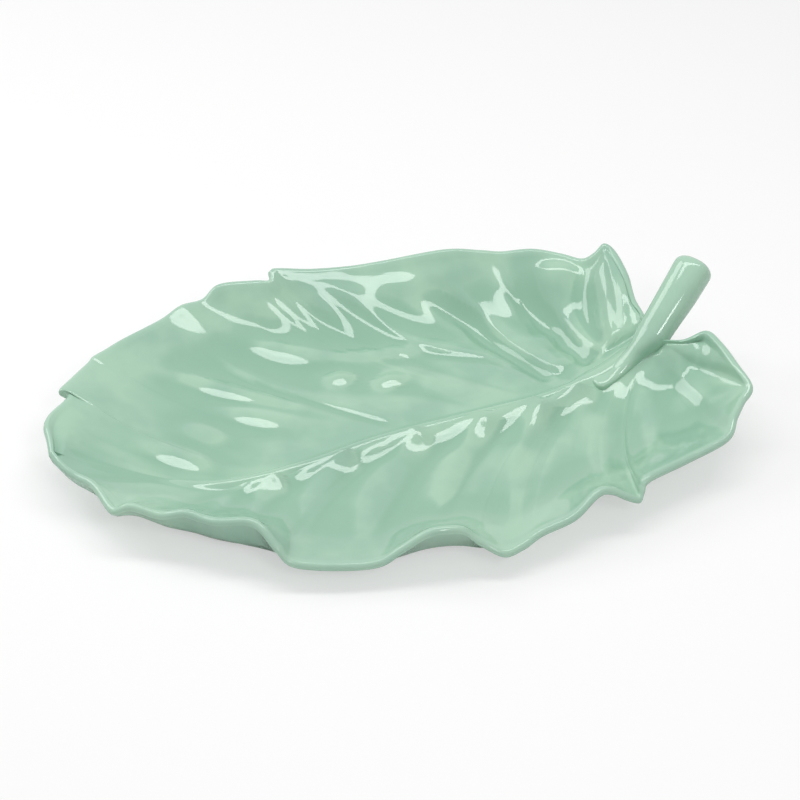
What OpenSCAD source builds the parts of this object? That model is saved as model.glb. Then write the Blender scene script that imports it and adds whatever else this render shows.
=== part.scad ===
// Leaf shaped serving plate of glazed stoneware.
// A dished leaf blade with a wavy, toothed rim, a raised midrib that swells into
// a stem handle, and a low foot ring underneath. Millimetres, +Z up. The origin
// is on the table, under the middle of the plate; the leaf's tip points to -X.

/* [Leaf] */
// Length of the plate, from the tip of the leaf to the end of the stem
plate_l = 360; // [300:1:420]
// Width of the leaf over its widest teeth
leaf_w = 236; // [200:1:270]
// Height of the highest tooth of the rim above the table
rim_h = 47; // [40:1:58]
// Height of the leaf's tip above its floor, along the midrib
tip_rise = 18; // [10:1:24]
// Height of the notch at the stem above the floor, along the midrib
notch_rise = 25; // [16:1:30]

/* [Wall] */
// Thickness of the flat floor
floor_t = 5; // [4:0.5:7]
// Thickness of the rim at its rounded lip
lip_t = 4.5; // [3.5:0.5:6]
// Width of the band where the near wall curves up, inside the dish
near_run = 45; // [36:1:55]
// Width of the band where the far wall curves up, inside the dish
far_run = 55; // [40:1:65]
// Width of the band where the wall curves up on the underside
under_run = 26; // [18:1:32]
// Distance from the rim past which the wall no longer follows the rim's small teeth
tooth_run = 30; // [20:1:40]
// Distance from the rim over which the wall meets the waves of the rim
lip_run = 16; // [10:1:24]
// Width of the band beside the midrib where the blade follows the midrib's climb
rib_run = 35; // [25:1:45]
// Length of a side vein past which the panel beside it lies on the floor
reach_l = 60; // [45:1:75]

/* [Veins] */
// Height of the highest fold of the blade above the panels beside it
fold_h = 4; // [2:0.25:5]
// Width of a fold's steep flank, on the side of the leaf's tip
fold_tip_w = 5; // [4:0.5:7]
// Width of a fold's gentle flank, on the side of the stem
fold_stem_w = 10; // [7:0.5:14]
// Rise of a full panel between two side veins
puff_h = 1.5; // [0.5:0.25:3]
// Width of a panel that has its full rise
puff_w = 34; // [25:1:45]
// Width of the midrib along most of its length
rib_w = 8; // [6:0.5:11]
// Height of the midrib above the blade along most of its length
rib_h = 3; // [2:0.25:4.5]
// Width of the midrib at its start, near the leaf's tip
rib_tip_w = 4; // [3:0.5:6]
// Height of the midrib above the blade at its start
rib_tip_h = 0.8; // [0.6:0.1:2]

/* [Stem] */
// Width of the stem at its neck, where it leaves the blade
stem_neck_w = 18.5; // [14:0.5:21]
// Width of the stem's root, the tongue that lies on the blade
stem_root_w = 15; // [12:0.5:18]
// Height of the stem's root above the blade at the notch
stem_root_h = 9; // [7:0.5:12]
// Width of the stem at its flared end
stem_end_w = 21; // [17:0.5:25]
// Thickness of the stem at its flared end
stem_end_t = 18; // [14:0.5:21]
// Length of the rounded cap on the stem's end
stem_cap_l = 7; // [5:0.5:9]
// Height of the middle of the stem's end above the table
stem_end_h = 57; // [50:1:70]
// Distance of the stem's end from the plate's middle line, to the far side
stem_sway = 20; // [5:1:30]

/* [Foot] */
// Height of the foot ring, and of the floor's underside above the table
foot_h = 3; // [2:0.5:5]
// Length of the foot ring
foot_l = 150; // [110:1:155]
// Width of the foot ring
foot_w = 122; // [90:1:126]
// Width of the foot ring's band
foot_band = 7; // [5:0.5:10]

/* [Hidden] */

// Height of the floor inside the dish, and of the highest tooth above that
floor_z = foot_h + floor_t;
rise_h = rim_h - floor_z;

// Where the side veins leave the midrib, as shares of its length from the tip
root_share = [0, 0.12, 0.19, 0.26, 0.33, 0.455, 0.58, 0.695, 0.79, 0.86, 0.90,
              0.94, 0.965, 0.98, 0.99, 1];
last_vein = len(root_share) - 1;

// The midrib at equal steps from the tip to the notch, as shares of the plate's
// length and of the leaf's width
midrib_share = [[-0.48, 0.018], [-0.37, -0.045], [-0.26, -0.095], [-0.15, -0.085],
                [-0.04, -0.05], [0.07, -0.033], [0.18, -0.021], [0.29, -0.006],
                [0.40, 0.02]];

// Shares of the midrib's length where its climb to the tip ends and its climb to
// the notch starts
tip_climb_share = 0.22;
notch_climb_share = 0.76;

// The near margin from tip to notch. Each row is a vein number, then shares of the
// plate's length, of the leaf's width and of the rim's height above the floor
near_share = [
  [0, -0.5, 0.016, 0.5], [0.6, -0.49, -0.02, 0.46], [1, -0.475, -0.055, 0.44],
  [1.5, -0.455, -0.1, 0.45], [2, -0.44, -0.18, 0.41], [2.4, -0.415, -0.2, 0.51],
  [3, -0.38, -0.23, 0.44], [3.5, -0.35, -0.255, 0.54], [4, -0.33, -0.275, 0.51],
  [4.4, -0.31, -0.305, 0.56], [5, -0.275, -0.325, 0.59], [5.3, -0.26, -0.345, 0.54],
  [5.6, -0.245, -0.385, 0.36], [6, -0.225, -0.41, 0.18], [6.5, -0.165, -0.44, 0.13],
  [7, -0.115, -0.455, 0.15], [7.3, -0.085, -0.455, 0.3], [7.7, -0.05, -0.455, 0.5],
  [8, -0.025, -0.46, 0.54], [8.3, 0, -0.465, 0.49], [8.6, 0.02, -0.475, 0.3],
  [9, 0.05, -0.5, 0.15], [9.2, 0.08, -0.495, 0.18], [9.5, 0.11, -0.48, 0.26],
  [9.75, 0.16, -0.465, 0.33], [10, 0.2, -0.435, 0.48], [10.4, 0.22, -0.432, 0.46],
  [10.7, 0.24, -0.438, 0.34], [11, 0.26, -0.44, 0.26], [11.2, 0.268, -0.43, 0.35],
  [11.4, 0.28, -0.415, 0.45], [11.7, 0.345, -0.38, 0.44], [12, 0.415, -0.345, 0.49],
  [12.4, 0.44, -0.3, 0.59], [12.7, 0.46, -0.265, 0.64], [13, 0.48, -0.235, 0.72],
  [13.4, 0.475, -0.175, 0.82], [13.75, 0.47, -0.1, 0.87], [14, 0.46, -0.05, 0.87],
  [14.5, 0.43, -0.032, 0.7], [15, 0.4, -0.02, 0.64]];

// The far margin from tip to notch, in rows of the same kind
far_share = [
  [0, -0.5, 0.022, 0.5], [1, -0.498, 0.06, 0.54], [2, -0.497, 0.105, 0.56],
  [3, -0.485, 0.145, 0.55], [3.6, -0.453, 0.2, 0.52], [4, -0.4625, 0.216, 0.57],
  [4.3, -0.44, 0.26, 0.54], [4.7, -0.41, 0.315, 0.49], [5, -0.4, 0.33, 0.51],
  [5.3, -0.38, 0.35, 0.5], [5.6, -0.35, 0.38, 0.49], [5.8, -0.285, 0.43, 0.49],
  [6, -0.25, 0.455, 0.56], [6.5, -0.215, 0.47, 0.54], [7, -0.185, 0.487, 0.67],
  [7.6, -0.13, 0.485, 0.64], [7.85, -0.108, 0.477, 0.64], [8, -0.1, 0.5, 0.72],
  [8.25, -0.04, 0.497, 0.62], [8.5, 0.02, 0.496, 0.56], [8.7, 0.07, 0.487, 0.59],
  [9, 0.165, 0.453, 0.75], [9.3, 0.22, 0.432, 0.72], [9.6, 0.25, 0.42, 0.69],
  [10, 0.295, 0.39, 0.77], [10.3, 0.335, 0.358, 0.74], [10.6, 0.36, 0.325, 0.74],
  [10.8, 0.375, 0.31, 0.87], [11, 0.39, 0.31, 1], [11.3, 0.402, 0.285, 0.96],
  [11.8, 0.405, 0.215, 0.86], [12.4, 0.402, 0.168, 0.77], [13, 0.4, 0.135, 0.72],
  [14, 0.402, 0.092, 0.66], [15, 0.397, 0.062, 0.64]];

// Width of the curved band of the wall, inside and underneath, and the power of its
// curve, as shares of their usual values. Each row starts with a vein number
near_band_share = [[0, 1.3, 1.6, 0.88], [2, 1.3, 1.4, 0.88], [3, 1.15, 0.8, 0.94],
                   [5.2, 1, 0.62, 1], [6, 1, 0.88, 1], [7.5, 1, 0.8, 1], [8.5, 1, 0.8, 1],
                   [9, 1, 1.1, 1], [9.8, 1.25, 2, 1], [13, 1.25, 2, 1], [15, 1, 1.2, 1]];
far_band_share = [[0, 1.3, 2.2, 0.75], [3, 1.8, 3, 0.66], [6, 1.75, 2.8, 0.68],
                  [7.5, 1.2, 1.5, 0.9], [9, 1, 1, 1], [15, 1, 1, 1]];

// Folds of the blade from the midrib outwards. Each one has its height as a share of
// the highest fold's, the share of that height which is left in its outer half, and its
// points as shares of the plate's length and of the leaf's width
near_fold_share = [
  [1, 0.3, [[-0.188, -0.093], [-0.272, -0.14], [-0.302, -0.2], [-0.325, -0.26]]],
  [1, 0.3, [[-0.083, -0.063], [-0.15, -0.09], [-0.205, -0.122], [-0.238, -0.18],
            [-0.275, -0.31]]],
  [1, 0.3, [[0.03, -0.038], [-0.04, -0.06], [-0.1, -0.1], [-0.155, -0.17],
            [-0.215, -0.39]]],
  [1, 0.3, [[0.13, -0.027], [0.06, -0.052], [0.005, -0.095], [-0.054, -0.17],
            [-0.14, -0.42]]],
  [1, 0.3, [[0.213, -0.021], [0.155, -0.045], [0.105, -0.087], [0.046, -0.175],
            [-0.022, -0.43]]],
  [1, 0.3, [[0.285, -0.016], [0.2, -0.078], [0.155, -0.15], [0.12, -0.26],
            [0.06, -0.46]]],
  [0.9, 0.6, [[0.31, -0.05], [0.264, -0.14], [0.228, -0.3], [0.207, -0.41]]],
  [0.9, 0.7, [[0.37, -0.04], [0.34, -0.162], [0.319, -0.292], [0.296, -0.4]]]];
far_fold_share = [
  [0.35, 1, [[0.02, -0.02], [-0.037, 0.055], [-0.15, 0.2], [-0.215, 0.3], [-0.25, 0.37]]],
  [0.35, 1, [[-0.05, 0.2], [-0.085, 0.311], [-0.105, 0.362], [-0.111, 0.438]]],
  [0.55, 1, [[0.24, 0.09], [0.106, 0.229], [0.026, 0.385], [-0.011, 0.442],
             [-0.09, 0.475]]],
  [1, 1, [[0.265, 0.06], [0.209, 0.236], [0.176, 0.342], [0.12, 0.45]]],
  [0.9, 1, [[0.335, 0.06], [0.304, 0.233], [0.292, 0.336], [0.286, 0.39]]],
  [0.75, 1, [[0.352, 0.062], [0.354, 0.127], [0.372, 0.259], [0.38, 0.3]]]];
// Shares of a fold's length over which it starts and ends, and between which its height
// drops to the part that is left in its outer half
fold_start_share = 0.1;
fold_end_share = 0.35;
fold_drop_share = [0.25, 0.65];

// How far along its run and across it a side vein bends, near side and far side
near_bend_share = [0.72, 0.32];
far_bend_share = [0.6, 0.48];

// Steps of the mesh from the midrib to the lip, inside and underneath, as shares of a
// side vein
step_share = [0, 0.06, 0.13, 0.21, 0.30, 0.40, 0.50, 0.60, 0.70, 0.79, 0.87, 0.94];
under_step_share = [0, 0.30, 0.52, 0.68, 0.79, 0.87, 0.94];
// Longest step of the mesh along the margin, as a share of the plate's length, and the
// least number of steps beside a panel
pitch_share = 0.0178;
least_steps = 3;
// Facets over the top of the midrib, and round the lip
rib_facets = 8;
lip_facets = 4;
// Powers of the curves of the wall, of the midrib's climb to the tip and the notch, and
// of a panel's rise
wall_power = 2.5;
climb_power = 1.8;
notch_power = 2.1;
puff_power = 1.5;
// Shares of a side vein over which the relief fades in and out
fade_in_share = 0.14;
fade_out_share = 0.16;
// The side vein beside which the midrib starts, and the share of its length at which it
// has its usual size
rib_vein = 1;
rib_full_share = 0.3;
// Share of the midrib's length where it starts to swell into the stem's root, and
// the side vein beside which the root begins
swell_share = 0.85;
stem_vein = 10;
// Steepest wall angle that the lip follows
lip_max_angle = 60;
// Share of the midrib's length between the two points that give its direction
probe_share = 0.01;
// How soft the distance to the rim and the rim's height are where the wall no longer
// follows the teeth
tooth_soft_share = 0.4;
tooth_soft = tooth_run * tooth_soft_share;

function mix(a, b, k) = a + (b - a) * k;
function unit(v) = v / norm(v);
function flat(v) = [v[0], v[1]];
function ease(k) = let (c = min(1, max(0, k))) c * c * (3 - 2 * c);

// Smooth curve through b and c, with a and d as the points before and after
function curve(a, b, c, d, f) =
  b + (c - a) * f / 2 + (2 * a - 5 * b + 4 * c - d) * f * f / 2
  + (3 * b - a - 3 * c + d) * f * f * f / 2;

// Row of a table at key v, smooth between its rows
function row_at(tab, v) =
  let (n = len(tab) - 1,
       i = min(n - 1, max([for (j = [0:n]) if (tab[j][0] <= v) j])),
       f = (v - tab[i][0]) / (tab[i + 1][0] - tab[i][0]))
  curve(tab[max(i - 1, 0)], tab[i], tab[i + 1], tab[min(i + 2, n)], f);

// Point of the margin at vein number v
function margin_at(tab, v) =
  let (r = row_at(tab, v)) [r[1] * plate_l, r[2] * leaf_w, floor_z + r[3] * rise_h];

// Share of the midrib's length at vein number v
function root_at(v) =
  let (i = min(floor(v), last_vein - 1)) mix(root_share[i], root_share[i + 1], v - i);

// Middle of the midrib on the blade, at share g of its length
function rib_xy(g) =
  let (n = len(midrib_share) - 1, i = min(floor(g * n), n - 1),
       p = curve(midrib_share[max(i - 1, 0)], midrib_share[i], midrib_share[i + 1],
                 midrib_share[min(i + 2, n)], g * n - i))
  [p[0] * plate_l, p[1] * leaf_w];
function rib_z(g) =
  floor_z + tip_rise * pow(max(0, 1 - g / tip_climb_share), climb_power)
  + notch_rise * pow(max(0, (g - notch_climb_share) / (1 - notch_climb_share)), notch_power);
function swell(g) = ease((g - swell_share) / (root_share[stem_vein] - swell_share));
function grown(g) =
  ease((g - root_share[rib_vein]) / (rib_full_share - root_share[rib_vein]));
function rib_half(g) =
  mix(mix(mix(rib_tip_w, rib_w, grown(g)), stem_root_w, swell(g)), stem_neck_w,
      ease((g - root_share[stem_vein]) / (1 - root_share[stem_vein]))) / 2;
function rib_top(g) =
  mix(mix(rib_tip_h, rib_h, grown(g)), stem_root_h,
      pow(max(0, (g - swell_share) / (1 - swell_share)), 1 / climb_power) * swell(g));

// Direction of the midrib in plan, and the direction across it to the far side
function rib_way(g) =
  unit(rib_xy(min(1, g + probe_share)) - rib_xy(max(0, g - probe_share)));
function rib_side(g) = let (w = rib_way(g)) [-w[1], w[0]];

// Edge of the midrib on the blade, side -1 near and 1 far
function rib_edge(g, side) =
  let (p = rib_xy(g) + rib_side(g) * rib_half(g) * side) [p[0], p[1], rib_z(g)];

// Vein numbers at which the mesh is cut, from tip to notch
pitch = plate_l * pitch_share;
function panel_steps(k) =
  ceil(max(norm(margin_at(near_share, k + 1) - margin_at(near_share, k)),
           norm(margin_at(far_share, k + 1) - margin_at(far_share, k))) / pitch);
cuts = concat([for (k = [0:last_vein - 1]) let (n = max(least_steps, panel_steps(k)))
               for (j = [0:n - 1]) k + j / n], [last_vein]);
cut_n = len(cuts) - 1;

// Margins cut into points, the length of margin that each point stands for, and the
// direction out of the leaf at each cut
function margin(side) = [for (v = cuts) margin_at(side < 0 ? near_share : far_share, v)];
function weights(points) =
  [for (i = [0:cut_n]) norm(flat(points[min(i + 1, cut_n)] - points[max(i - 1, 0)])) / 2];
function outward(points, i, side) =
  let (w = flat(points[min(i + 1, cut_n)] - points[max(i - 1, 0)]
                + points[min(i + 2, cut_n)] - points[max(i - 2, 0)]))
  unit([w[1], -w[0]]) * -side;

// Distance in plan from point p to a margin. Close to the rim it is the distance to the
// nearest point, and further in a soft one that the small teeth don't show in
function edge_distance(p, points, weight) =
  let (gaps = [for (q = points) norm(flat(q) - p)],
       hard = min(gaps),
       total = [for (g = gaps) exp(-g / tooth_soft)] * weight / (2 * tooth_soft),
       d = max(0, -tooth_soft * ln(total)),
       soft = d + tooth_soft / 2 * ln(1 + PI * d / (2 * tooth_soft)))
  mix(hard, soft, ease(hard / tooth_run));

// Height of the rim about point p, evened out along the margin
function even_z(p, points, weight) =
  let (near = [for (k = [0:cut_n])
               weight[k] * exp(-pow(norm(flat(points[k] - p)) / tooth_soft, 2))])
  near * [for (q = points) q[2]] / (near * [for (q = points) 1]);

// Height of the wall at distance d past the end of the lip: from the panels' level up to
// the evened rim, and close to the lip up to the lip itself
function wall_z(d, level, low, top, run, power) =
  mix(level, mix(low, top, ease(1 - d / lip_run)), pow(max(0, 1 - d / run), power));

// Level of the panels beside a side vein of length l whose root is at share g
function panel_z(g, l) =
  floor_z + (rib_z(g) - floor_z) * pow(max(0, 1 - l / reach_l), climb_power);

// Share by which the blade follows the midrib's climb at distance d from its edge
function rib_blend(d) = pow(max(0, 1 - d / rib_run), 2);

// Point of a side vein in plan at share t, bent towards the leaf's tip
function vein_xy(root, rim, bend, t) =
  let (c = [mix(root[0], rim[0], bend[0]), mix(root[1], rim[1], bend[1])])
  flat(root) * pow(1 - t, 2) + c * 2 * t * (1 - t) + flat(rim) * t * t;

// Rise of the panel of width w that lies round vein number v
function puff(v, w) =
  let (f = v - floor(v)) puff_h * min(1, w / puff_w) * pow(4 * f * (1 - f), puff_power);

// Place of point p beside a line: its distance, the side that it lies on, and the share
// of the line at its nearest point
function line_place(p, line) =
  let (n = len(line) - 1,
       places = [for (i = [0:n - 1])
                 let (way = line[i + 1] - line[i], off = p - line[i],
                      k = min(1, max(0, off * way / (way * way))))
                 [norm(off - way * k), sign(cross(way, off)), (i + k) / n]],
       least = min([for (q = places) q[0]]))
  [for (q = places) if (q[0] == least) q][0];

// Height of one fold at point p of a half of the blade
function fold_rise(p, fold, side) =
  let (line = [for (q = fold[2]) [q[0] * plate_l, q[1] * leaf_w]],
       place = line_place(p, line), s = place[2],
       w = place[1] * side < 0 ? fold_stem_w : fold_tip_w,
       left = mix(1, fold[1], ease((s - fold_drop_share[0])
                                   / (fold_drop_share[1] - fold_drop_share[0]))))
  fold_h * fold[0] * left * ease(s / fold_start_share) * ease((1 - s) / fold_end_share)
  * exp(-pow(place[0] / w, 2));
function folds_rise(p, side) =
  [for (f = side < 0 ? near_fold_share : far_fold_share) fold_rise(p, f, side)]
  * [for (f = side < 0 ? near_fold_share : far_fold_share) 1];

// One cut through half the blade: up the inside from the midrib's edge to the lip,
// round the lip, and back along the underside
function half_cut(points, weight, i, side) =
  let (v = cuts[i], g = root_at(v), root = rib_edge(g, side), rim = points[i],
       bend = side < 0 ? near_bend_share : far_bend_share,
       band = row_at(side < 0 ? near_band_share : far_band_share, v),
       run = (side < 0 ? near_run : far_run) * band[1],
       low_run = under_run * band[2],
       power = wall_power * band[3],
       out = outward(points, i, side),
       level = panel_z(g, norm(flat(rim) - flat(root))),
       k = min(floor(v), last_vein - 1),
       tab = side < 0 ? near_share : far_share,
       root_gap = norm(rib_xy(root_at(k + 1)) - rib_xy(root_at(k))),
       rim_gap = norm(flat(margin_at(tab, k + 1)) - flat(margin_at(tab, k))),
       tilt = min(lip_max_angle, atan((rim[2] - level) * power / run)),
       up = [out[0] * cos(tilt), out[1] * cos(tilt), sin(tilt)],
       down = [out[0] * sin(tilt), out[1] * sin(tilt), -cos(tilt)],
       middle = rim - up * lip_t / 2,
       lip = [for (j = [0:lip_facets]) let (a = 180 * j / lip_facets)
              middle + (up * sin(a) - down * cos(a)) * lip_t / 2],
       first = lip[0], last = lip[lip_facets],
       start = edge_distance(flat(first), points, weight),
       low_start = edge_distance(flat(last), points, weight),
       even = even_z(rim, points, weight) - rim[2],
       inside = [for (t = step_share)
                 let (p = vein_xy(root, first, bend, t),
                      d = max(0, edge_distance(p, points, weight) - start),
                      z = wall_z(d, level, first[2] + even, first[2], run - start, power),
                      fade = ease(t / fade_in_share) * ease((1 - t) / fade_out_share))
                 [p[0], p[1], t == 0 ? root[2]
                  : mix(z, root[2], rib_blend(norm(p - flat(root))))
                    + fade * (puff(v, mix(root_gap, rim_gap, t)) + folds_rise(p, side))]],
       below = [for (j = [len(under_step_share) - 1:-1:0])
                let (t = under_step_share[j], p = vein_xy(root, last, bend, t),
                     d = max(0, edge_distance(p, points, weight) - low_start),
                     z = wall_z(d, level - floor_t, last[2] + even, last[2],
                                low_run - low_start, power))
                [p[0], p[1], t == 0 ? root[2] - floor_t
                 : mix(z, root[2] - floor_t, rib_blend(norm(p - flat(root))))]])
  concat(inside, lip, below);

near_margin = margin(-1);
far_margin = margin(1);
near_weight = weights(near_margin);
far_weight = weights(far_margin);
near_cuts = [for (i = [0:cut_n]) half_cut(near_margin, near_weight, i, -1)];
far_cuts = [for (i = [0:cut_n]) half_cut(far_margin, far_weight, i, 1)];
half_n = len(near_cuts[0]);

// Seat of the midrib across the blade at cut i, from its near edge to its far edge
function seat(i) =
  let (a = near_cuts[i][0], b = far_cuts[i][0])
  [for (j = [0:rib_facets]) mix(a, b, j / rib_facets)];

// Faces that close a ring of n points: one face, or a strip of them from its first
// point to the one half way round, where its two sides lie on each other's level
function end_faces(n, strip) =
  !strip ? [[for (j = [0:n - 1]) j]]
  : [for (j = [0:n / 2 - 1])
     concat([j, j + 1], j < n / 2 - 1 ? [n - j - 1] : [], j > 0 ? [n - j] : [])];

// A tube of equal closed rings as a solid, with flat ends
module rings_solid(rings, strip = false) {
  n = len(rings[0]);
  last = len(rings) - 1;
  ends = end_faces(n, strip);
  polyhedron(
    points = [for (r = rings) each r],
    faces = concat(
      [for (i = [0:last - 1], j = [0:n - 1])
       let (a = i * n + j, b = i * n + (j + 1) % n) each [[a, a + n, b + n], [a, b + n, b]]],
      ends,
      [for (f = ends) [for (j = [len(f) - 1:-1:0]) last * n + f[j]]]),
    convexity = 10);
}

// The dished blade: rings run over the seat of the midrib, out along the far half,
// and back along the underside to the near half
module leaf_blade() {
  color([0.62, 0.79, 0.70])
  rings_solid([for (i = [0:cut_n])
    concat([for (j = [0:half_n - 1]) near_cuts[i][half_n - 1 - j]],
           [for (j = [1:rib_facets - 1]) seat(i)[j]],
           far_cuts[i])]);
}

// Ring of the midrib at cut i: over its rounded top, and back along its seat
function rib_ring(i) =
  let (s = seat(i), h = rib_top(root_at(cuts[i])))
  concat([for (j = [0:rib_facets]) s[j] + [0, 0, h * sin(180 * j / rib_facets)]],
         [for (j = [rib_facets - 1:-1:1]) s[j]]);

// Cuts of the mesh where the midrib starts and where the stem's root begins
rib_cut = max([for (i = [0:cut_n]) if (cuts[i] <= rib_vein) i]);
stem_cut = max([for (i = [0:cut_n]) if (cuts[i] <= stem_vein) i]);

module midrib() {
  color([0.66, 0.82, 0.73])
  rings_solid([for (i = [rib_cut:stem_cut]) rib_ring(i)], strip = true);
}

// Path of the free stem, from the notch to the middle of its rounded end
stem_start = [rib_xy(1)[0], rib_xy(1)[1], rib_z(1)];
stem_end = [plate_l / 2 - stem_end_w / 2, stem_sway, stem_end_h];
// Where the stem's path bends: shares of its way out, of its sway and of its climb
stem_knee_share = [0.5, 0.46, 0.53];
stem_knee = [for (k = [0:2]) mix(stem_start[k], stem_end[k], stem_knee_share[k])];
function stem_at(w) =
  stem_start * pow(1 - w, 2) + stem_knee * 2 * w * (1 - w) + stem_end * w * w;
function stem_way(w) =
  unit(mix(stem_knee - stem_start, stem_end - stem_knee, w));
// Share of the way out at which the stem's underside is full, and how full it is at the
// neck
stem_full_share = 0.5;
stem_thin_share = 0.7;
function stem_low(w) = stem_end_t / 2 * ease(w / stem_full_share) * mix(stem_thin_share, 1, w);
// Rings of the shaft and of its cap, the angle that the cap's rings reach, and the power
// of its rounding, where 2 is a plain oval
stem_rings = 10;
cap_rings = 5;
cap_angle = 85;
cap_power = 2.6;
function cap_out(a) = pow(sin(a), 2 / cap_power);
function cap_in(a) = pow(cos(a), 2 / cap_power);

// Ring of the free stem about point c, with its own half width and half heights
function stem_ring(c, way, half_w, up_h, low_h) =
  let (side = unit([-way[1], way[0], 0]), up = cross(way, side))
  [for (j = [0:2 * rib_facets - 1]) let (a = 180 * j / rib_facets)
   c - side * cos(a) * half_w + up * sin(a) * (sin(a) > 0 ? up_h : low_h)];

module stem_handle() {
  root = [for (i = [stem_cut:cut_n]) rib_ring(i)];
  shaft = [for (k = [1:stem_rings]) let (w = k / stem_rings)
    stem_ring(stem_at(w), stem_way(w), mix(stem_neck_w, stem_end_w, w) / 2,
              mix(stem_root_h, stem_end_t / 2, ease(w)), stem_low(w))];
  cap = [for (k = [1:cap_rings]) let (a = cap_angle * k / cap_rings)
    stem_ring(stem_end + stem_way(1) * stem_cap_l * cap_out(a), stem_way(1),
              stem_end_w / 2 * cap_in(a), stem_end_t / 2 * cap_in(a),
              stem_end_t / 2 * cap_in(a))];
  color([0.66, 0.82, 0.73])
  rings_solid(concat(root, shaft, cap), strip = true);
}

// Oval of the foot ring, with its middle under the flat of the floor
foot_x_share = -0.025;
foot_points = 64;
function oval(l, w) =
  [for (k = [0:foot_points - 1]) let (a = 360 * k / foot_points)
   [foot_x_share * plate_l + l / 2 * cos(a), w / 2 * sin(a)]];

module foot_ring() {
  color([0.87, 0.84, 0.77])
  linear_extrude(foot_h) difference() {
    polygon(oval(foot_l, foot_w));
    polygon(oval(foot_l - 2 * foot_band, foot_w - 2 * foot_band));
  }
}

leaf_blade();
midrib();
stem_handle();
foot_ring();
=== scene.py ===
"""Leaf shaped serving plate of glazed stoneware: the looks of its four pieces.

The blade, its midrib and the stem are shaped by the same rules and sizes as the
solids, in metres, with a finer relief. The foot ring follows an oval path.
"""
import logging
import math
from dataclasses import dataclass, field
from enum import Enum

import bpy
import numpy as np
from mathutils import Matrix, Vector


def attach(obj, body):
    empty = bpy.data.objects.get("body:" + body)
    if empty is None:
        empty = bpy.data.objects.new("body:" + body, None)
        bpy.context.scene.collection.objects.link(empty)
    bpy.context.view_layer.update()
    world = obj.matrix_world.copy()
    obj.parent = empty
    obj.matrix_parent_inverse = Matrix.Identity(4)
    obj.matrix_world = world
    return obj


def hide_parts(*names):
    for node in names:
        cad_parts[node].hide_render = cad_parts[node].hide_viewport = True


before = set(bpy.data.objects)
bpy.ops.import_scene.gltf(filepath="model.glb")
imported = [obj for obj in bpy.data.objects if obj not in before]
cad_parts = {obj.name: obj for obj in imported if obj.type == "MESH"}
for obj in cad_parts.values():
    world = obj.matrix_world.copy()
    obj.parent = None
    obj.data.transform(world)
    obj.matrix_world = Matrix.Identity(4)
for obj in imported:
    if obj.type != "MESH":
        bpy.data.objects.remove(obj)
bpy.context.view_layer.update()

LOG = logging.getLogger("leaf_plate")
Array, Object, Material = np.ndarray, bpy.types.Object, bpy.types.Material
Node, Socket = bpy.types.Node, bpy.types.NodeSocket
Values = Array | float
Pair, Triple = tuple[float, float], tuple[float, float, float]
Rows = tuple[tuple[float, ...], ...]
TINY = 1e-30                # keeps a length or a sum from being nought
LINE_STEPS = 40             # points for each row of a drawn line
BATCH = 2000                # points that are measured against a line at a time
SHARP = math.radians(70)    # steeper edges are shaded as edges


class Side(Enum):
    """Half of the leaf, by the side of the midrib that it lies on."""

    NEAR = -1
    FAR = 1

    @property
    def other(self) -> "Side":
        """The half across the midrib."""
        return Side(-self.value)


def mix(a: Values, b: Values, k: Values) -> Values:
    """Blend a and b by share k."""
    return a + (b - a) * k


def ease(k: Array) -> Array:
    """Smooth step from 0 to 1 over the share k."""
    c = np.clip(k, 0.0, 1.0)
    return c * c * (3.0 - 2.0 * c)


def bell(d: Array, width: float) -> Array:
    """Bell curve of distance d, with its foot at about twice the width."""
    return np.exp(-(d / width) ** 2)


def unit(v: Array) -> Array:
    """Rows of v made one unit long."""
    return v / np.maximum(np.linalg.norm(v, axis=-1, keepdims=True), TINY)


def row_at(table: Array, key: Array) -> Array:
    """Rows of a table at the given keys, on a smooth curve through its rows.

    Args:
        table: Rows that start with their key.
        key: The wanted keys.

    Returns:
        One row for each key.
    """
    last = len(table) - 1
    i = np.clip(np.searchsorted(table[:, 0], key, side="right") - 1, 0, last - 1)
    f = ((key - table[i, 0]) / (table[i + 1, 0] - table[i, 0]))[:, None]
    a, b, c, d = (table[np.clip(i + k, 0, last)] for k in (-1, 0, 1, 2))
    return (b + (c - a) * f / 2 + (2 * a - 5 * b + 4 * c - d) * f * f / 2
            + (3 * b - a - 3 * c + d) * f ** 3 / 2)


def curve_at(points: Array, share: Array) -> Array:
    """Points on the smooth curve through points, from 0 at the first to 1 at the last."""
    key = np.arange(len(points))
    return row_at(np.column_stack([key, points]), share * key[-1])[:, 1:]


def run_along(line: Array) -> Array:
    """Way from the start of a line to each of its points."""
    return np.append(0, np.cumsum(np.linalg.norm(np.diff(line, axis=0), axis=1)))


def beside(line: Array, points: Array) -> tuple[Array, Array]:
    """Find the places of a line that points in plan lie beside.

    Args:
        line: Points of the line, close together.
        points: The points, two values each.

    Returns:
        The way along the line to each of those places, and the distance from there to
        the point, positive to the left of the line.
    """
    way, run = unit(np.gradient(line, axis=0)), run_along(line)
    along, across = np.empty(len(points)), np.empty(len(points))
    for part in np.array_split(np.arange(len(points)), 1 + len(points) // BATCH):
        gap = points[part, None] - line[None]
        i = np.argmin((gap ** 2).sum(2), 1)
        off, w = gap[np.arange(len(part)), i], way[i]
        along[part] = run[i] + (off * w).sum(1)
        across[part] = w[:, 0] * off[:, 1] - w[:, 1] * off[:, 0]
    return along, across


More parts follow.
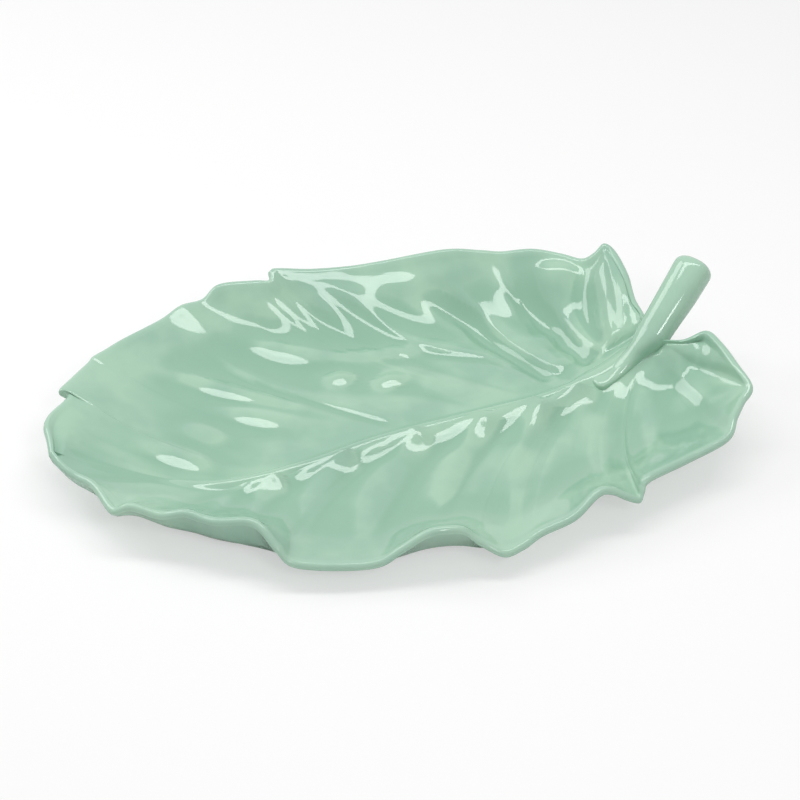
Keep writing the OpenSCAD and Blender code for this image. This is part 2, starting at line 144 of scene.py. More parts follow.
@dataclass
class LeafForm:
    """Sizes and rules that the blade, the midrib and the stem share, in metres.

    A margin's row has a vein number, the place in shares of the plate's length and width,
    and the share of the rim's height. A band's row has a vein number, and shares of the
    wall's width inside, of its width below and of its power.
    """

    plate_l: float = 0.360
    leaf_w: float = 0.236
    rim_h: float = 0.047
    tip_rise: float = 0.018
    notch_rise: float = 0.025
    floor_t: float = 0.005
    lip_t: float = 0.0045
    near_run: float = 0.045
    far_run: float = 0.055
    under_run: float = 0.026
    tooth_run: float = 0.030
    lip_run: float = 0.016
    rib_run: float = 0.035
    reach_l: float = 0.060
    rib_w: float = 0.008
    rib_h: float = 0.003
    rib_tip_w: float = 0.004
    rib_tip_h: float = 0.0008
    stem_neck_w: float = 0.0185
    stem_root_w: float = 0.015
    stem_root_h: float = 0.009
    foot_h: float = 0.003
    tip_climb_share: float = 0.24
    notch_climb_share: float = 0.76
    swell_share: float = 0.85
    rib_full_share: float = 0.3
    tooth_soft_share: float = 0.4
    rib_vein: int = 1
    stem_vein: int = 10
    turn_step: float = 0.01
    wall_power: float = 2.5
    climb_power: float = 1.8
    notch_power: float = 2.1
    root_share: tuple[float, ...] = (0, 0.12, 0.19, 0.26, 0.33, 0.455, 0.58, 0.695, 0.79,
                                     0.86, 0.90, 0.94, 0.965, 0.98, 0.99, 1)
    midrib_share: Rows = (
        (-0.48, 0.018), (-0.37, -0.045), (-0.26, -0.095), (-0.15, -0.085),
        (-0.04, -0.05), (0.07, -0.033), (0.18, -0.021), (0.29, -0.006), (0.40, 0.02))
    near_share: Rows = (
        (0, -0.5, 0.016, 0.5), (0.6, -0.49, -0.02, 0.46), (1, -0.475, -0.055, 0.44),
        (1.5, -0.455, -0.1, 0.45), (2, -0.44, -0.18, 0.41), (2.4, -0.415, -0.2, 0.51),
        (3, -0.38, -0.23, 0.44), (3.5, -0.35, -0.255, 0.54), (4, -0.33, -0.275, 0.51),
        (4.4, -0.31, -0.305, 0.56), (5, -0.275, -0.325, 0.59), (5.3, -0.26, -0.345, 0.54),
        (5.6, -0.245, -0.385, 0.36), (6, -0.225, -0.41, 0.18), (6.5, -0.165, -0.44, 0.13),
        (7, -0.115, -0.455, 0.15), (7.3, -0.085, -0.455, 0.3), (7.7, -0.05, -0.455, 0.5),
        (8, -0.025, -0.46, 0.54), (8.3, 0, -0.465, 0.49), (8.6, 0.02, -0.475, 0.3),
        (9, 0.05, -0.5, 0.15), (9.2, 0.08, -0.495, 0.18), (9.5, 0.11, -0.48, 0.26),
        (9.75, 0.16, -0.465, 0.33), (10, 0.2, -0.435, 0.48), (10.4, 0.22, -0.432, 0.46),
        (10.7, 0.24, -0.438, 0.34), (11, 0.26, -0.44, 0.26), (11.2, 0.268, -0.43, 0.35),
        (11.4, 0.28, -0.415, 0.45), (11.7, 0.345, -0.38, 0.44), (12, 0.415, -0.345, 0.49),
        (12.4, 0.44, -0.3, 0.59), (12.7, 0.46, -0.265, 0.64), (13, 0.48, -0.235, 0.72),
        (13.4, 0.475, -0.175, 0.82), (13.75, 0.47, -0.1, 0.87), (14, 0.46, -0.05, 0.87),
        (14.5, 0.43, -0.032, 0.7), (15, 0.4, -0.02, 0.64))
    far_share: Rows = (
        (0, -0.5, 0.022, 0.5), (1, -0.498, 0.06, 0.54), (2, -0.497, 0.105, 0.56),
        (3, -0.485, 0.145, 0.55), (3.6, -0.453, 0.2, 0.52), (4, -0.4625, 0.216, 0.57),
        (4.3, -0.44, 0.26, 0.54), (4.7, -0.41, 0.315, 0.49), (5, -0.4, 0.33, 0.51),
        (5.3, -0.38, 0.35, 0.5), (5.6, -0.35, 0.38, 0.49), (5.8, -0.285, 0.43, 0.49),
        (6, -0.25, 0.455, 0.56), (6.5, -0.215, 0.47, 0.54), (7, -0.185, 0.487, 0.67),
        (7.6, -0.13, 0.485, 0.64), (7.85, -0.108, 0.477, 0.64), (8, -0.1, 0.5, 0.72),
        (8.25, -0.04, 0.497, 0.62), (8.5, 0.02, 0.496, 0.56), (8.7, 0.07, 0.487, 0.59),
        (9, 0.165, 0.453, 0.75), (9.3, 0.22, 0.432, 0.72), (9.6, 0.25, 0.42, 0.69),
        (10, 0.295, 0.39, 0.77), (10.3, 0.335, 0.358, 0.74), (10.6, 0.36, 0.325, 0.74),
        (10.8, 0.375, 0.31, 0.87), (11, 0.39, 0.31, 1), (11.3, 0.402, 0.285, 0.96),
        (11.8, 0.405, 0.215, 0.86), (12.4, 0.402, 0.168, 0.77), (13, 0.4, 0.135, 0.72),
        (14, 0.402, 0.092, 0.66), (15, 0.397, 0.062, 0.64))
    near_band: Rows = (
        (0, 1.3, 1.6, 0.88), (2, 1.3, 1.4, 0.88), (3, 1.15, 0.8, 0.94), (5.2, 1, 0.62, 1),
        (6, 1, 0.88, 1), (7.5, 1, 0.8, 1), (8.5, 1, 0.8, 1), (9, 1, 1.1, 1),
        (9.8, 1.25, 2, 1), (13, 1.25, 2, 1), (15, 1, 1.2, 1))
    far_band: Rows = (
        (0, 1.3, 2.2, 0.75), (3, 1.8, 3, 0.66), (5, 1.7, 2.8, 0.75), (6.5, 1.3, 2.3, 1.05),
        (7.5, 1.15, 1.5, 1.15), (9, 1.05, 1, 1.1), (11, 1, 1, 1), (15, 1, 1, 1))
    near_bend: Pair = (0.72, 0.32)
    far_bend: Pair = (0.6, 0.48)

    @property
    def floor_z(self) -> float:
        """Height of the floor inside the dish."""
        return self.foot_h + self.floor_t

    @property
    def last_vein(self) -> int:
        """Number of the vein at the notch."""
        return len(self.root_share) - 1

    def margin(self, side: Side, v: Array) -> Array:
        """Points of the margin.

        Args:
            side: Which half.
            v: Vein numbers of the points.

        Returns:
            One point for each vein number.
        """
        table = np.array(self.near_share if side is Side.NEAR else self.far_share)
        r = row_at(table, v)
        rise = self.rim_h - self.floor_z
        return np.stack([r[:, 1] * self.plate_l, r[:, 2] * self.leaf_w,
                         self.floor_z + r[:, 3] * rise], 1)

    def band(self, side: Side, v: Array) -> Array:
        """The band in which the wall curves up.

        Args:
            side: Which half.
            v: Vein numbers of the cuts.

        Returns:
            A row for each cut: its widths, inside and below, and the power of its curve.
        """
        table = np.array(self.near_band if side is Side.NEAR else self.far_band)
        r = row_at(table, v)
        run = self.near_run if side is Side.NEAR else self.far_run
        return np.stack([r[:, 1] * run, r[:, 2] * self.under_run, r[:, 3] * self.wall_power], 1)

    @property
    def tooth_soft(self) -> float:
        """How soft the distance to the rim is where the wall no longer follows the teeth."""
        return self.tooth_run * self.tooth_soft_share

    def bend(self, side: Side) -> Pair:
        """How far along its run and across it a cut through the blade bends."""
        return self.near_bend if side is Side.NEAR else self.far_bend

    def root_at(self, v: Array) -> Array:
        """Share of the midrib's length at vein numbers v."""
        return np.interp(v, np.arange(self.last_vein + 1), self.root_share)

    def rib_xy(self, g: Array) -> Array:
        """Middle of the midrib in plan, at shares g of its length."""
        return curve_at(np.array(self.midrib_share) * (self.plate_l, self.leaf_w), g)

    def rib_z(self, g: Array) -> Array:
        """Height of the blade under the midrib at shares g."""
        tip = np.maximum(0, 1 - g / self.tip_climb_share)
        notch = np.maximum(0, (g - self.notch_climb_share) / (1 - self.notch_climb_share))
        return (self.floor_z + self.tip_rise * tip ** self.climb_power
                + self.notch_rise * notch ** self.notch_power)

    def swell(self, g: Array) -> Array:
        """How far the midrib has swollen into the stem's root at shares g."""
        start = self.root_share[self.stem_vein]
        return ease((g - self.swell_share) / (start - self.swell_share))

    def grown(self, g: Array) -> Array:
        """How far the midrib has grown to its usual size at shares g."""
        start = self.root_share[self.rib_vein]
        return ease((g - start) / (self.rib_full_share - start))

    def rib_half(self, g: Array) -> Array:
        """Half width of the midrib's seat at shares g."""
        start = self.root_share[self.stem_vein]
        slim = mix(self.rib_tip_w, self.rib_w, self.grown(g))
        wide = mix(slim, self.stem_root_w, self.swell(g))
        return mix(wide, self.stem_neck_w, ease((g - start) / (1 - start))) / 2

    def rib_side(self, g: Array) -> Array:
        """Direction across the midrib towards the far side, in plan."""
        way = unit(self.rib_xy(np.minimum(1, g + self.turn_step))
                   - self.rib_xy(np.maximum(0, g - self.turn_step)))
        return np.stack([-way[:, 1], way[:, 0]], 1)

    def rib_edge(self, g: Array, side: Side) -> Array:
        """Edge of the midrib's seat on one side."""
        p = self.rib_xy(g) + self.rib_side(g) * self.rib_half(g)[:, None] * side.value
        return np.column_stack([p, self.rib_z(g)])

    def panel_z(self, g: Array, length: Array) -> Array:
        """Level of the panels beside a side vein of this length, rooted at share g."""
        near = np.maximum(0, 1 - length / self.reach_l) ** self.climb_power
        return self.floor_z + (self.rib_z(g) - self.floor_z) * near


@dataclass
class Relief:
    """Swelling of the panels between the side veins of one half of the blade.

    The height and the width of a panel that has it in full are in metres. There is one
    share of the height for each panel from the tip to the notch.
    """

    puff_h: float
    puff_w: float
    puff_share: tuple[float, ...]
    rim_fade: float = 0.16
    root_fade: float = 0.14
    arch_power: float = 1.5

    def height(self, v: Array, t: Array, width: Array) -> Array:
        """Relief above the plain dish.

        Args:
            v: Vein numbers, one for each cut.
            t: Shares of the side veins, one for each step.
            width: Width of the panel across its veins, for each cut and step.

        Returns:
            Heights for each cut and step.
        """
        k = np.minimum(np.floor(v).astype(int), len(self.puff_share) - 1)
        f = (v - k)[:, None]
        full = np.minimum(1, width / self.puff_w)
        arch = (4 * f * (1 - f)) ** self.arch_power
        puff = np.array(self.puff_share)[k][:, None] * full * arch
        return self.puff_h * ease((1 - t) / self.rim_fade) * ease(t / self.root_fade) * puff


@dataclass(frozen=True)
class Fold:
    """Side vein drawn on the leaf: a crest with a steep flank and a gentle one.

    The crest runs from the midrib to the rim, in shares of the plate's length and width.
    Its height and the widths of its flanks, towards the tip and towards the stem, are in
    metres. The steep flank faces the tip, and widens by a share on its way to the rim. The
    crease is the depth of the hollow in front of it, and its place and width are in widths
    of that flank. The fades are shares of the crest's length, at its ends and where it
    drops to its rest, a share of its height. Each flank reaches out so many widths.
    """

    points: Rows
    height: float
    tip_w: float = 0.0085
    stem_w: float = 0.0095
    tip_power: float = 1.5
    widening: float = -0.3
    crease: float = 0.0003
    crease_place: float = 2.4
    crease_w: float = 1.3
    overrun: float = 0.02
    start_fade: float = 0.08
    end_fade: float = 0.35
    rest: float = 0.28
    rest_start: float = 0.2
    rest_fade: float = 0.25
    stem_reach: float = 2.6
    tip_reach: float = 7.8

    def rise(self, p: Array, form: LeafForm, side: Side) -> Array:
        """Height of the fold at points p in plan.

        Args:
            p: Points, with two values or more each.
            form: Sizes of the leaf.
            side: The half of the leaf that carries the fold.

        Returns:
            One height for each point.
        """
        rows = np.array(self.points) * (form.plate_l, form.leaf_w)
        line = curve_at(rows, np.linspace(0, 1, LINE_STEPS * (len(rows) - 1) + 1))
        flat = p[..., :2].reshape(-1, 2)
        reach = max(self.stem_reach * self.stem_w, self.tip_reach * self.tip_w)
        near = ((flat > line.min(0) - reach) & (flat < line.max(0) + reach)).all(1)
        along, across = beside(line, flat[near])
        share, across = along / run_along(line)[-1], across * -side.value
        tip = np.maximum(0, -across) / (1 + self.widening * ease(share))
        off = (tip - self.crease_place * self.tip_w) / (self.crease_w * self.tip_w)
        height = np.where(across > 0, self.height * bell(across, self.stem_w),
                          self.height * np.exp(-(tip / self.tip_w) ** self.tip_power)
                          - self.crease * np.exp(-off ** 2))
        strength = (ease((share + self.overrun) / self.start_fade)
                    * mix(1.0, self.rest, ease((share - self.rest_start) / self.rest_fade))
                    * ease((1 + self.overrun - share) / self.end_fade))
        out = np.zeros(len(flat))
        out[near] = strength * height
        return out.reshape(p.shape[:-1])


def far_fold(*points: Pair, **sizes: float) -> Fold:
    """Make a side vein of the far half, which keeps its height and widens to the rim."""
    return Fold(points, rest=1.0, widening=0.3, **sizes)


@dataclass(frozen=True)
class Swelling:
    """Soft rise or hollow pressed into the clay by hand: a stretched bell in plan.

    The place is in shares of the plate's length and width, the rest in metres, and the
    turn in degrees from the plate's length.
    """

    x: float
    y: float
    length: float
    width: float
    turn: float
    height: float

    def rise(self, p: Array, form: LeafForm) -> Array:
        """Height of the swelling at points in plan.

        Args:
            p: Points, with two values or more each.
            form: Sizes of the leaf.

        Returns:
            One height for each point.
        """
        d = p[..., :2] - np.array([self.x * form.plate_l, self.y * form.leaf_w])
        a = math.radians(self.turn)
        u = d[..., 0] * math.cos(a) + d[..., 1] * math.sin(a)
        w = d[..., 1] * math.cos(a) - d[..., 0] * math.sin(a)
        return self.height * np.exp(-(u / self.length) ** 2 - (w / self.width) ** 2)


def add_object(name: str, data: bpy.types.ID, place: Vector | None = None,
               back: Vector | None = None) -> Object:
    """Put an object in the scene.

    Args:
        name: Its name.
        data: Its mesh, lamp or camera.
        place: Place of a lamp or a camera. A mesh stays at the origin.
        back: The direction that the back of a lamp or a camera faces.

    Returns:
        The object.
    """
    obj = bpy.data.objects.new(name, data)
    bpy.context.scene.collection.objects.link(obj)
    if place is not None:
        obj.location = place
        obj.rotation_euler = back.to_track_quat("Z", "Y").to_euler()
    return obj


def make_object(name: str, verts: Array, faces: list, material: Material,
                attributes: dict[str, Array] | None = None) -> Object:
    """Build a smooth shaded mesh object at the origin.

    Args:
        name: Name of the piece.
        verts: Its points in metres.
        faces: Its faces as rows of point numbers.
        material: Its finish.
        attributes: Values on the points that its finish reads.

    Returns:
        The object, linked to the scene.
    """
    mesh = bpy.data.meshes.new(name)
    mesh.from_pydata(verts.tolist(), [], faces)
    mesh.validate()
    mesh.shade_smooth()
    mesh.set_sharp_from_angle(angle=SHARP)
    for key, values in (attributes or {}).items():
        layer = mesh.attributes.new(key, "FLOAT", "POINT")
        layer.data.foreach_set("value", np.asarray(values, dtype=np.float32).ravel())
    mesh.materials.append(material)
    return add_object(name, mesh)


def make_tube(name: str, rings: Array, material: Material, thin: Values,
              pool: Values = 0.0) -> Object:
    """Build a closed tube of equal rings with flat ends.

    Args:
        name: Name of the piece.
        rings: Points, one row of them a ring.
        material: Its finish.
        thin: How thin the glaze lies at each point.
        pool: How deep the glaze lies at each point.

    Returns:
        The object, linked to the scene.
    """
    shape = rings.shape[:2]
    own = np.arange(shape[0] * shape[1]).reshape(shape)
    after = np.roll(own, -1, 1)
    sides = np.stack([own[:-1], own[1:], after[1:], after[:-1]], 2).reshape(-1, 4)
    LOG.info("%s: %d rings of %d points", name, *shape)
    return make_object(name, rings.reshape(-1, 3),
                       [*sides.tolist(), own[0].tolist(), own[-1, ::-1].tolist()], material,
                       {"thin": np.broadcast_to(thin, shape), "pool": np.broadcast_to(pool, shape)})


@dataclass
class LeafBlade:
    """The dished blade, cut across from one lip over the midrib's seat to the other.

    The cuts are a pitch apart at most. The two halves draw together to one rim at the tip,
    from the vein number of the tip's join on. The lip stays inside the margin by the inset,
    and over the last veins at the notch it is tucked in towards the stem.
    """

    form: LeafForm
    pitch: float = 0.0018
    least_cuts: int = 6
    steps: int = 54
    step_power: float = 1.15
    lip_facets: int = 10
    under_steps: int = 18
    seat_steps: int = 6
    margin_steps: int = 700
    soft: float = 0.003
    soft_run: float = 0.009
    tooth_reach: float = 0.7
    turn_even: float = 0.006
    inset: float = 0.0004
    lip_rounds: int = 4
    most_tilt: float = math.radians(60)
    tip_join: float = 0.8
    rim_fade: float = 0.12
    pool_start: float = 12
    pool_steps: tuple[int, ...] = (2, 5, 9)
    pool_h: float = 0.0004
    tip_rib_run: float = 0.050
    tip_rib_share: float = 0.35
    tuck: float = 0.003
    tuck_veins: float = 0.5
    near_relief: Relief = field(default_factory=lambda: Relief(
        0.0012, 0.034, (0.2, 0.3, 0.3, 0.4, 0.6, 0.8, 0.9, 1, 1, 1, 1, 1, 1, 0.6, 0.3)))
    far_relief: Relief = field(default_factory=lambda: Relief(
        0.0016, 0.034, (0.2, 0.3, 0.4, 0.3, 0.2, 0.1, 0.4, 1, 1, 1, 1, 1, 1, 0.6, 0.3)))
    near_folds: tuple[Fold, ...] = (
        Fold(((-0.188, -0.093), (-0.235, -0.105), (-0.272, -0.14), (-0.302, -0.2),
              (-0.325, -0.26)), 0.0056),
        Fold(((-0.083, -0.060), (-0.15, -0.085), (-0.205, -0.120), (-0.238, -0.18),
              (-0.262, -0.25), (-0.275, -0.31)), 0.0064),
        Fold(((0.03, -0.036), (-0.04, -0.055), (-0.1, -0.095), (-0.155, -0.17), (-0.192, -0.28),
              (-0.215, -0.39)), 0.0066),
        Fold(((0.13, -0.025), (0.06, -0.044), (0.005, -0.085), (-0.054, -0.17), (-0.1, -0.28),
              (-0.14, -0.42)), 0.0062),
        Fold(((0.213, -0.019), (0.155, -0.040), (0.105, -0.080), (0.046, -0.175),
              (0, -0.31), (-0.022, -0.43)), 0.0068),
        Fold(((0.290, -0.005), (0.25, -0.030), (0.2, -0.068), (0.155, -0.15), (0.12, -0.26),
              (0.06, -0.46)), 0.0076),
        Fold(((0.31, -0.05), (0.288, -0.085), (0.264, -0.14), (0.243, -0.215), (0.228, -0.3),
              (0.207, -0.41)), 0.0022, rest=0.8, start_fade=0.3),
        Fold(((0.37, -0.04), (0.354, -0.088), (0.34, -0.162), (0.319, -0.292),
              (0.296, -0.4)), 0.0022, rest=0.9, start_fade=0.3))
    far_folds: tuple[Fold, ...] = (
        far_fold((0.02, -0.02), (-0.037, 0.055), (-0.085, 0.118), (-0.15, 0.2), (-0.191, 0.256),
                 (-0.215, 0.3), (-0.25, 0.37), height=0.0014, tip_w=0.0018, stem_w=0.009,
                 start_fade=0.2),
        far_fold((0.24, 0.09), (0.178, 0.165), (0.106, 0.229), (0.064, 0.298), (0.026, 0.385),
                 (-0.011, 0.442), (-0.06, 0.468), (-0.09, 0.475), height=0.0016, tip_w=0.0020,
                 stem_w=0.008, start_fade=0.3, end_fade=0.1),
        far_fold((0.265, 0.06), (0.235, 0.15), (0.209, 0.236), (0.193, 0.304), (0.176, 0.342),
                 (0.155, 0.378), (0.135, 0.41), (0.12, 0.45), height=0.0040, tip_w=0.0032,
                 stem_w=0.014, crease=0.0022),
        far_fold((0.335, 0.06), (0.318, 0.155), (0.304, 0.233), (0.297, 0.28), (0.292, 0.336),
                 (0.286, 0.39), height=0.0036, tip_w=0.0035, stem_w=0.012, crease=0.0022),
        far_fold((0.352, 0.062), (0.354, 0.127), (0.362, 0.204), (0.372, 0.259), (0.38, 0.3),
                 height=0.0030, tip_w=0.0035, stem_w=0.010, crease=0.0020))
    near_swellings: tuple[Swelling, ...] = tuple(Swelling(*row) for row in (
        (0.435, -0.09, 0.015, 0.012, -60, -0.0028),
        (0.395, -0.155, 0.018, 0.010, 30, 0.002)))
    far_swellings: tuple[Swelling, ...] = tuple(Swelling(*row) for row in (
        (-0.318, 0.008, 0.016, 0.007, -33, 0.0024),
        (-0.273, 0.075, 0.01, 0.006, -30, 0.0016),
        (-0.19, 0.107, 0.024, 0.0068, -29, 0.0032),
        (-0.202, 0.188, 0.032, 0.0065, -32, 0.0041),
        (-0.1, 0.299, 0.024, 0.008, -28, 0.0038),
        (0.034, 0.25, 0.024, 0.0055, -6, 0.0024),
        (-0.03, 0.41, 0.018, 0.007, -60, 0.0016),
        (0.11, 0.375, 0.028, 0.011, -52, 0.0034),
        (0.17, 0.425, 0.018, 0.008, -13, 0.0024),
        (0.232, 0.3, 0.011, 0.006, -65, 0.0014),
        (0.322, 0.31, 0.013, 0.011, -60, 0.003),
        (-0.05, 0.19, 0.009, 0.0055, 0, 0.0035),
        (0.015, 0.15, 0.009, 0.0055, 0, 0.0036),
        (0.269, 0.18, 0.007, 0.005, 0, 0.002)))

    def cuts(self) -> Array:
        """Place the cuts through the blade about a pitch apart along the longer margin.

        Returns:
            Their vein numbers, from tip to notch.
        """
        out: list[float] = []
        for k in range(self.form.last_vein):
            fine = np.linspace(k, k + 1, LINE_STEPS + 1)
            run = max(run_along(self.form.margin(side, fine))[-1] for side in Side)
            n = max(self.least_cuts, math.ceil(run / self.pitch))
            out.extend(k + j / n for j in range(n))
        return np.array(out + [float(self.form.last_vein)])

    def edge_distance(self, p: Array, side: Side) -> Array:
        """Distance in plan from points p to the margin of one side.

        Close to the rim it is the distance to the nearest point, and further in a soft one
        that neither creases nor small teeth show in.

        Args:
            p: Points, two values each.
            side: The side whose margin counts.

        Returns:
            One distance for each point.
        """
        v = np.linspace(0, self.form.last_vein, self.margin_steps + 1)
        m = self.form.margin(side, v)[:, :2]
        step = np.diff(m, axis=0)
        run = np.linalg.norm(step, axis=1)
        flat = p.reshape(-1, 2)
        out = np.empty(len(flat))
        for part in np.array_split(np.arange(len(flat)), 1 + len(flat) // BATCH):
            gap = flat[part, None] - m[None, :-1]
            share = np.clip((gap * step).sum(2) / run ** 2, 0, 1)
            d = np.linalg.norm(gap - share[..., None] * step, axis=2)
            hard = d.min(1)
            out[part] = hard
            for width, reach in ((self.soft, self.soft_run),
                                 (self.form.tooth_soft, self.form.tooth_run * self.tooth_reach)):
                total = (np.exp(-d / width) * run).sum(1) / (2 * width)
                soft = np.maximum(0, -width * np.log(np.maximum(total, TINY)))
                soft = soft + width / 2 * np.log1p(math.pi * soft / (2 * width))
                out[part] = mix(out[part], soft, ease(hard / reach))
        return out.reshape(p.shape[:-1])

    def wall_z(self, p: Array, rim: Array, level: Array, run: Array, power: Array,
               side: Side) -> Array:
        """Height of the wall, which climbs from the panels' level to the lip.

        Args:
            p: Points of the blade, one row of them a cut, the last at the lip.
            rim: Points of the lip, one a cut.
            level: Level of the panels at each cut.
            run: Width of the wall's band at each cut.
            power: Power of the wall's curve at each cut.
            side: The half of the leaf.

        Returns:
            Heights for each cut and step.
        """
        d = self.edge_distance(p, side)
        start = d[:, -1:]
        off = np.maximum(0, d - start)
        share = np.maximum(0, 1 - off / (run[:, None] - start)) ** power[:, None]
        low = self.evened(rim, rim[:, 2], self.form.tooth_soft)[:, None]
        top = mix(low, rim[:, 2:3], ease(1 - off / self.form.lip_run))
        return mix(level[:, None], top, share)

    def beside_rib(self, p: Array, wall: Array, depth: float) -> Array:
        """Height of the blade where it nears the midrib's seat.

        Args:
            p: Points of the blade in plan.
            wall: Height of the wall at the points.
            depth: How far below the seat the surface lies.

        Returns:
            One height for each point.
        """
        form = self.form
        g = np.linspace(0, 1, LINE_STEPS * 6 + 1)
        line = form.rib_xy(g)
        along, across = beside(line, p.reshape(-1, 2))
        near = np.interp(along, run_along(line), g)
        off = np.maximum(0, np.abs(across) - form.rib_half(near))
        reach = mix(self.tip_rib_run, form.rib_run, ease(near / self.tip_rib_share))
        share = np.maximum(0, 1 - off / reach) ** 2
        return mix(wall.ravel(), form.rib_z(near) - depth, share).reshape(p.shape[:-1])

    def evened(self, rim: Array, values: Array, width: float) -> Array:
        """Even out values along a rim.

        Args:
            rim: Points of the rim.
            values: One value or row for each point.
            width: The length over which they are evened out.

        Returns:
            The evened values.
        """
        run = run_along(rim)
        weight = np.exp(-((run[:, None] - run[None]) / width) ** 2) * np.gradient(run)[None]
        return weight @ values / weight.sum(1, keepdims=values.ndim > 1)

    def rim_frame(self, v: Array, side: Side) -> Array:
        """Where the lip lies and how it leans.

        Args:
            v: Vein numbers of the cuts.
            side: Which half.

        Returns:
            A row for each cut: the rim's point, its outward direction in plan, the lip's
            tilt and the level of the panels.
        """
        form = self.form
        g = form.root_at(v)
        root, rim, run = form.rib_edge(g, side), form.margin(side, v), form.band(side, v)
        way = self.evened(rim, np.gradient(rim[:, :2], axis=0), self.turn_even)
        out = unit(np.stack([way[:, 1], -way[:, 0]], 1)) * -side.value
        rim = rim - np.column_stack([out * self.inset, np.full(len(v), self.inset)])
        level = form.panel_z(g, np.linalg.norm(rim[:, :2] - root[:, :2], axis=1))
        tilt = np.zeros(len(v))
        for _ in range(self.lip_rounds):
            # The lip leans as the wall does where it reaches the lip's inner edge
            fall = form.lip_t / 2 * (np.sin(tilt) + np.cos(tilt))
            slope = (rim[:, 2] - fall * (rim[:, 2] > level + fall) - level) * run[:, 2]
            tilt = np.arctan(slope / (run[:, 0] - fall)).clip(0, self.most_tilt)
        return np.column_stack([rim, out, self.evened(rim, tilt, self.turn_even), level])

    def half(self, v: Array, side: Side) -> Array:
        """Cuts through one half of the blade.

        Args:
            v: Vein numbers of the cuts.
            side: Which half.

        Returns:
            The points of each cut: inside from the midrib's seat, around the lip and below.
        """
        form = self.form
        g = form.root_at(v)
        root, run = form.rib_edge(g, side), form.band(side, v)
        own, other = self.rim_frame(v, side), self.rim_frame(v, side.other)
        weight = 1 - ease(v / self.tip_join)
        own = own + weight[:, None] * ((own[0] + other[0]) / 2 - own[0])
        facing = form.rib_edge(g[:1], side.other)
        root = root + weight[:, None] * (facing - root[0]) / 2
        rim, out, tilt, level = own[:, :3], unit(own[:, 3:5]), own[:, 5], own[:, 6]
        tuck = self.tuck * ease((v - form.last_vein) / self.tuck_veins + 1)
        rim[:, :2] -= form.rib_side(g) * (tuck * side.value)[:, None]
        up = np.column_stack([out * np.cos(tilt)[:, None], np.sin(tilt)])
        down = np.column_stack([out * np.sin(tilt)[:, None], -np.cos(tilt)])
        middle = rim - up * form.lip_t / 2
        turn = np.linspace(0, math.pi, self.lip_facets + 1)[None, :, None]
        lip = middle[:, None] + (up[:, None] * np.sin(turn)
                                 - down[:, None] * np.cos(turn)) * form.lip_t / 2
        bend = np.array(form.bend(side))

        def vein(end: Array, t: Array) -> Array:
            """Plan points of the side veins from the root to this end."""
            a, c, s = root[:, None, :2], end[:, None, :2], t[None, :, None]
            return a * (1 - s) ** 2 + (a + (c - a) * bend) * 2 * s * (1 - s) + c * s * s

        t = np.linspace(0, 1, self.steps + 1) ** self.step_power
        p = vein(lip[:, 0], t)
        across = np.gradient(p, v, axis=0)
        along = unit(np.gradient(p, t, axis=1))
        width = np.abs(across[..., 0] * along[..., 1] - across[..., 1] * along[..., 0])
        wall = self.wall_z(p, lip[:, 0], level, run[:, 0], run[:, 2], side)
        near = side is Side.NEAR
        relief = self.near_relief if near else self.far_relief
        detail = relief.height(v, t[None], width)
        fade = ease((1 - t) / self.rim_fade)[None]
        for fold in (self.near_folds if near else self.far_folds):
            detail = detail + fold.rise(p, form, side) * fade
        for swelling in (self.near_swellings if near else self.far_swellings):
            detail = detail + swelling.rise(p, form) * fade
        z = self.beside_rib(p, wall, 0.0) + detail
        z[:, 0] = root[:, 2]
        z[:, -1] = lip[:, 0, 2]
        inside = np.dstack([p, z])[:, :-1]

        tb = np.linspace(1, 0, self.under_steps + 1)
        q = vein(lip[:, -1], tb)
        wall = self.wall_z(q[:, ::-1], lip[:, -1], level - form.floor_t, run[:, 1], run[:, 2],
                           side)[:, ::-1]
        zb = self.beside_rib(q, wall, form.floor_t)
        zb[:, -1] = root[:, 2] - form.floor_t
        below = np.dstack([q, zb])[:, 1:]
        return np.concatenate([inside, lip, below], 1)

    def height_at(self, place: Array) -> float:
        """Height of the blade's inside near the stem.

        Args:
            place: The place in plan.

        Returns:
            The height there, from the nearest points of some cuts.
        """
        cuts, points, least_gap = 60, 4, 1e-4
        v = np.linspace(self.form.stem_vein, self.form.last_vein, cuts)
        p = np.concatenate([self.half(v, side)[:, :self.steps].reshape(-1, 3) for side in Side])
        gap = np.linalg.norm(p[:, :2] - place, axis=1)
        near = np.argsort(gap)[:points]
        return float(np.average(p[near, 2], weights=1 / (gap[near] + least_gap)))

    def build(self, material: Material) -> Object:
        """Make the blade as one closed mesh.

        Args:
            material: Its finish.

        Returns:
            The piece.
        """
        v = self.cuts()
        near, far = self.half(v, Side.NEAR), self.half(v, Side.FAR)
        share = (np.arange(1, self.seat_steps) / self.seat_steps)[None, :, None]
        seat = near[:, :1] + (far[:, :1] - near[:, :1]) * share
        rings = np.concatenate([near[:, ::-1], seat, far], 1)
        place = np.arange(rings.shape[1])
        lip_n, near_lip = self.lip_facets + 1, self.under_steps
        far_lip = len(place) - near_lip - lip_n
        thin = np.zeros(len(place))
        for start in (near_lip, far_lip):
            thin[start:start + lip_n] = 1
        # Glaze pools in the hollows of the relief and runs thin over its crests
        z = rings[..., 2]
        pool = np.zeros_like(z)
        for step in self.pool_steps:
            mean = (np.roll(z, step, 1) + np.roll(z, -step, 1)) / 2
            mean[step:-step] += (z[2 * step:] + z[:-2 * step]) / 2 - z[step:-step]
            pool += (mean - z) / (self.pool_h * step)
        inner = np.minimum(place - near_lip - lip_n, far_lip - place)
        pool = np.clip(pool, -1, 1) * ease(inner / self.pool_start)
        return make_tube("leaf_blade_glazed", rings, material, thin, pool)


